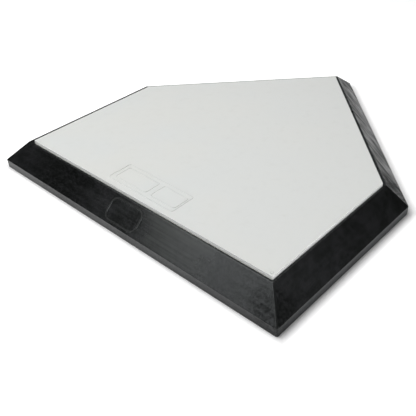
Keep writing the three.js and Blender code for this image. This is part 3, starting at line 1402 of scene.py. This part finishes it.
@dataclass
class CoreScrews:
    """The flat-head screws: a cross drive, a cone under the head and a rolled thread."""

    sizes: PlateFrame
    head_land: float = 0.4 * MM
    head_angle: float = HEAD_ANGLE
    thread_radius: float = 3.175 * MM
    thread_depth: float = 0.7 * MM
    thread_pitch: float = 1.27 * MM
    tip_radius: float = 2.2 * MM
    sides: int = 24
    steps_per_turn: int = 5
    sharp_angle: float = math.radians(50)
    drive_length: float = 6.6 * MM
    drive_width: float = 1.5 * MM
    drive_depth: float = 2.2 * MM

    def build(self, material: bpy.types.Material) -> bpy.types.Object:
        """Builds the screws.

        Args:
            material: Their material.

        Returns:
            One piece that holds every screw.
        """
        low, high = self.sizes.screw
        length = high.z - low.z
        tree = GeometryGraph("core_screws")
        shape = {
            "Vertices": self.sides,
            "Side Segments": round(length / self.thread_pitch * self.steps_per_turn),
            "Radius": 1.0,
            "Depth": length,
        }
        blank = tree.add("GeometryNodeMeshCylinder", shape)
        upright = tree.moved(blank.outputs["Mesh"], (0.0, 0.0, length / 2))
        turned = tree.placed(upright, Position=self.skin(tree, length))
        blades = [
            tree.add("GeometryNodeMeshCube", {"Size": (across, deep, 2 * self.drive_depth)}).outputs["Mesh"]
            for across, deep in (
                (self.drive_length, self.drive_width),
                (self.drive_width, self.drive_length),
            )
        ]
        screw = tree.moved(tree.cut(turned, blades), (0.0, 0.0, low.z))
        tree.finish(tree.on_points(tree.points_of(Role.FIXING), screw), material)
        piece = tree.make("board_screws", self.sizes.outline.seed({}, self.sizes.fixings))
        soften(piece, self.sharp_angle)
        return piece

    def skin(self, tree: GeometryGraph, length: float) -> bpy.types.NodeSocket:
        """Gives each point of a unit bar its place on the screw.

        Args:
            tree: The screws' tree.
            length: The screw's length.

        Returns:
            The place: the head's cone, the thread's helix or the tip's cone, whichever counts at that height.
        """
        place = tree.axes(tree.here())
        across, deep, height = (place[axis] for axis in "XYZ")
        turns = tree.math("DIVIDE", tree.math("ARCTAN2", deep, across), 2 * math.pi)
        pitch = tree.size("Thread Pitch", self.thread_pitch)
        phase = tree.math("FRACT", tree.math("SUBTRACT", tree.math("DIVIDE", height, pitch), turns))
        groove = tree.math("ABSOLUTE", tree.math("SUBTRACT", tree.product(phase, 2.0), 1.0))
        cutting = tree.product(groove, tree.size("Thread Depth", self.thread_depth))
        thread = tree.math("SUBTRACT", tree.size("Thread Radius", self.thread_radius), cutting)
        under = tree.greatest(tree.math("SUBTRACT", height, self.head_land), 0.0)
        drop = tree.product(under, math.tan(self.head_angle / 2))
        head = tree.math("SUBTRACT", tree.size("Head Radius", self.sizes.head_radius), drop)
        tip = tree.total(tree.math("SUBTRACT", length, height), self.tip_radius)
        radius = tree.math("MINIMUM", tree.greatest(head, thread), tip)
        return tree.point(X=tree.product(across, radius), Y=tree.product(deep, radius), Z=height)


@dataclass
class TeeNuts:
    """The tee nuts in the slab: a flange with holes that the rubber keys into, and a plain barrel."""

    sizes: PlateFrame
    bore: float = 3.325 * MM
    barrel: float = BARREL_RADIUS
    flange: float = FLANGE_HEIGHT
    key_holes: int = 4
    key_sides: int = 16
    key_radius: float = 1.3 * MM
    key_circle: float = 6.8 * MM

    def build(self, material: bpy.types.Material) -> bpy.types.Object:
        """Builds the tee nuts.

        Args:
            material: Their material.

        Returns:
            One piece that holds every tee nut.
        """
        low, high = self.sizes.nut
        over = self.flange
        tree = GeometryGraph("tee_nuts")
        plate = tree.bar(tree.size("Flange Radius", self.sizes.flange_radius), low.z, low.z + self.flange)
        barrel = tree.bar(tree.size("Barrel Radius", self.barrel), low.z, high.z)
        bore = tree.bar(tree.size("Bore Radius", self.bore), low.z - over, high.z + over)
        ring = {"Vertices": self.key_holes, "Radius": tree.size("Key Circle", self.key_circle)}
        circle = tree.add("GeometryNodeMeshCircle", ring)
        narrow = tree.size("Key Radius", self.key_radius)
        key = tree.bar(narrow, low.z - over, low.z + 2 * over, self.key_sides)
        keys = tree.on_points(circle.outputs["Mesh"], key)
        nut = tree.cut(tree.join([plate, barrel]), [bore, keys])
        tree.finish(tree.on_points(tree.points_of(Role.FIXING), nut), material)
        piece = tree.make("tee_nuts", self.sizes.outline.seed({}, self.sizes.fixings))
        soften(piece)
        return piece


@dataclass
class Softbox:
    """A rectangular lamp with an even face."""

    name: str
    place: Place
    aim: Place
    width: float
    length: float
    radiance: float

    def build(self) -> None:
        """Adds the lamp to the scene."""
        data = bpy.data.lights.new(self.name, "AREA")
        data.shape = "RECTANGLE"
        data.size, data.size_y = self.width, self.length
        data.energy = self.radiance * math.pi * self.width * self.length
        lamp = bpy.data.objects.new(self.name, data)
        lamp.location = self.place
        lamp.rotation_euler = (Vector(self.aim) - Vector(self.place)).to_track_quat("-Z", "Y").to_euler()
        bpy.context.scene.collection.objects.link(lamp)


@dataclass
class Studio:
    """The floor, the lamps, the room's light and the camera."""

    sizes: PlateFrame
    floor_half: float = 12.0
    floor_drop: float = 0.1 * MM
    opening_margin: float = 4 * MM
    floor_white: Colour = (0.90, 0.90, 0.90)
    floor_lift: float = 0.42
    lift_start: float = 0.2485
    lift_end: float = 0.264
    far_lift: float = 0.8
    far_start: float = 0.5
    far_end: float = 1.1
    horizon: float = 1.0
    horizon_height: float = 0.1
    ceiling: float = 0.03
    camera_place: Place = (0.52088, -0.60047, 0.49780)
    camera_azimuth: float = math.radians(43.14)
    camera_elevation: float = math.radians(32.50)
    camera_roll: float = math.radians(-2.29)
    focal_pixels: float = 638.77
    centre_pixels: Span = (232.07, 156.48)
    frame_pixels: float = 416.0
    sensor: float = 36.0

    def build(self) -> None:
        """Sets up the whole studio."""
        self.floor()
        self.room()
        for lamp in self.lamps():
            lamp.build()
        self.camera()
        bpy.context.scene.view_settings.view_transform = "Standard"

    def lamps(self) -> list[Softbox]:
        """Lists the lamps.

        Returns:
            Large softboxes above, in front and low at the right, and three small or weak ones.
        """
        return [
            Softbox("overhead", (-0.40, -0.32, 1.40), (-0.40, -0.32, 0.0), 1.5, 1.65, 2.85),
            Softbox("front", (-0.50, -1.63, 0.83), (0.0, 0.0, 0.0), 1.3, 1.45, 0.98),
            Softbox("right", (1.85, -0.19, 0.40), (0.0, 0.0, 0.0), 2.3, 0.75, 3.6),
            Softbox("left", (-0.83, -1.14, 1.27), (0.0, 0.0, 0.0), 0.4, 0.5, 1.7),
            Softbox("right_fill", (1.36, 0.63, 1.17), (0.0, 0.0, 0.0), 0.9, 0.9, 0.16),
            Softbox("back_fill", (-0.65, 1.04, 1.46), (0.0, 0.0, 0.0), 1.6, 0.6, 0.45),
        ]

    def floor(self) -> None:
        """Lays a white floor, open under the plate so that its underside can be looked at."""
        wide = self.floor_half
        mesh = bmesh.new()
        loops = [
            [Vector((x, y)) for x, y in ((-wide, -wide), (wide, -wide), (wide, wide), (-wide, wide))],
            self.sizes.outline.corners(self.sizes.core_reach + self.opening_margin),
        ]
        for loop in loops:
            points = [mesh.verts.new((point.x, point.y, -self.floor_drop)) for point in loop]
            for i, point in enumerate(points):
                mesh.edges.new((points[i - 1], point))
        bmesh.ops.triangle_fill(mesh, edges=mesh.edges[:], use_beauty=True, normal=(0.0, 0.0, 1.0))
        mesh.normal_update()
        bmesh.ops.reverse_faces(mesh, faces=[face for face in mesh.faces if face.normal.z < 0])
        data = bpy.data.meshes.new("floor")
        mesh.to_mesh(data)
        mesh.free()
        floor = bpy.data.objects.new("floor", data)
        bpy.context.scene.collection.objects.link(floor)
        data.materials.append(self.floor_material())

    def floor_material(self) -> bpy.types.Material:
        """Makes the floor's white: lifted away from the plate where it is the background, clear from below.

        Returns:
            The material.
        """
        material = bpy.data.materials.new("floor_white")
        material.use_nodes = True
        graph = Graph(material.node_tree)
        graph.tree.nodes.clear()
        paint = graph.add("ShaderNodeBsdfDiffuse", {"Color": (*self.floor_white, 1.0)})
        rays = graph.add("ShaderNodeLightPath").outputs
        seen = graph.greatest(*(rays[f"Is {kind} Ray"] for kind in ("Camera", "Glossy", "Transmission")))
        place = graph.axes(graph.add("ShaderNodeTexCoord").outputs["Object"])
        aside = graph.math("ABSOLUTE", place["X"])
        diagonal = math.sqrt(0.5)
        slant = graph.product(graph.total(aside, place["Y"]), diagonal)
        slant = graph.total(slant, self.sizes.outline.half_width * (1 - diagonal))
        away = graph.greatest(aside, slant, graph.product(place["Y"], -1.0))
        near = graph.ramp(away, self.lift_start, self.lift_end, 0.0, self.floor_lift)
        far = graph.ramp(away, self.far_start, self.far_end, 0.0, self.far_lift)
        strength = graph.product(seen, graph.greatest(near, far))
        lift = graph.add("ShaderNodeEmission", {"Strength": strength})
        lit = graph.add("ShaderNodeAddShader", {0: paint.outputs[0], 1: lift.outputs[0]})
        below = graph.add("ShaderNodeNewGeometry").outputs["Backfacing"]
        clear = graph.add("ShaderNodeBsdfTransparent")
        sided = graph.add("ShaderNodeMixShader", {0: below, 1: lit.outputs[0], 2: clear.outputs[0]})
        graph.add("ShaderNodeOutputMaterial", {"Surface": sided.outputs[0]})
        return material

    def room(self) -> None:
        """Makes the room's light: a white backdrop up to a low height, and a dim ceiling above it."""
        world = bpy.data.worlds.new("studio")
        world.use_nodes = True
        bpy.context.scene.world = world
        graph = Graph(world.node_tree)
        graph.tree.nodes.clear()
        direction = graph.add("ShaderNodeTexCoord").outputs["Generated"]
        height = graph.axes(direction)["Z"]
        level = graph.ramp(height, 0.0, self.horizon_height, self.horizon, self.ceiling)
        light = graph.add("ShaderNodeBackground", {"Strength": level})
        graph.feed(light.inputs["Color"], (1.0, 1.0, 1.0, 1.0))
        graph.add("ShaderNodeOutputWorld", {"Surface": light.outputs["Background"]})

    def camera(self) -> None:
        """Adds the camera at the photograph's place, angle and framing."""
        data = bpy.data.cameras.new("camera")
        data.sensor_width = self.sensor
        data.lens = self.focal_pixels / self.frame_pixels * self.sensor
        data.shift_x = 0.5 - self.centre_pixels[0] / self.frame_pixels
        data.shift_y = self.centre_pixels[1] / self.frame_pixels - 0.5
        camera = bpy.data.objects.new("camera", data)
        level = math.cos(self.camera_elevation)
        back = Vector(
            (
                math.sin(self.camera_azimuth) * level,
                -math.cos(self.camera_azimuth) * level,
                math.sin(self.camera_elevation),
            )
        )
        upright = (-back).to_track_quat("-Z", "Y").to_matrix().to_4x4()
        rolled = upright @ Matrix.Rotation(self.camera_roll, 4, "Z")
        camera.matrix_world = Matrix.Translation(self.camera_place) @ rolled
        bpy.context.scene.collection.objects.link(camera)
        bpy.context.scene.camera = camera


def attach(piece: bpy.types.Object, slot: Slot, nodes: Sequence[str]) -> None:
    """Makes a piece stand for its nodes and reports it.

    Args:
        piece: The finished piece.
        slot: The record's material slot; it is not used.
        nodes: The nodes that it stands for.
    """
    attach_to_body(piece, BODY)
    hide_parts(*nodes)
    log.info("%s: %d faces for %s", piece.name, len(piece.data.polygons), ", ".join(nodes))


def main() -> None:
    """Builds and dresses the plate, then sets up the studio."""
    logging.basicConfig(level=logging.INFO, format="%(name)s %(message)s")
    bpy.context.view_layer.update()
    sizes = PlateFrame()
    zinc = ZincSteel().make()
    attach(FaceSlab(sizes).build(WhiteRubber(sizes).make()), Slot.WHITE_RUBBER, ["white_face_slab"])
    attach(BevelBody(sizes).build(BlackRubber(sizes).make()), Slot.BLACK_RUBBER, ["black_bevel_body"])
    attach(PlywoodCore(sizes).build(Plywood().make()), Slot.PLYWOOD, ["plywood_core"])
    attach(TeeNuts(sizes).build(zinc), Slot.ZINC_STEEL, numbered("tee_nut"))
    attach(CoreScrews(sizes).build(zinc), Slot.ZINC_STEEL, numbered("core_screw"))
    Studio(sizes).build()


if __name__ == "__main__":
    main()
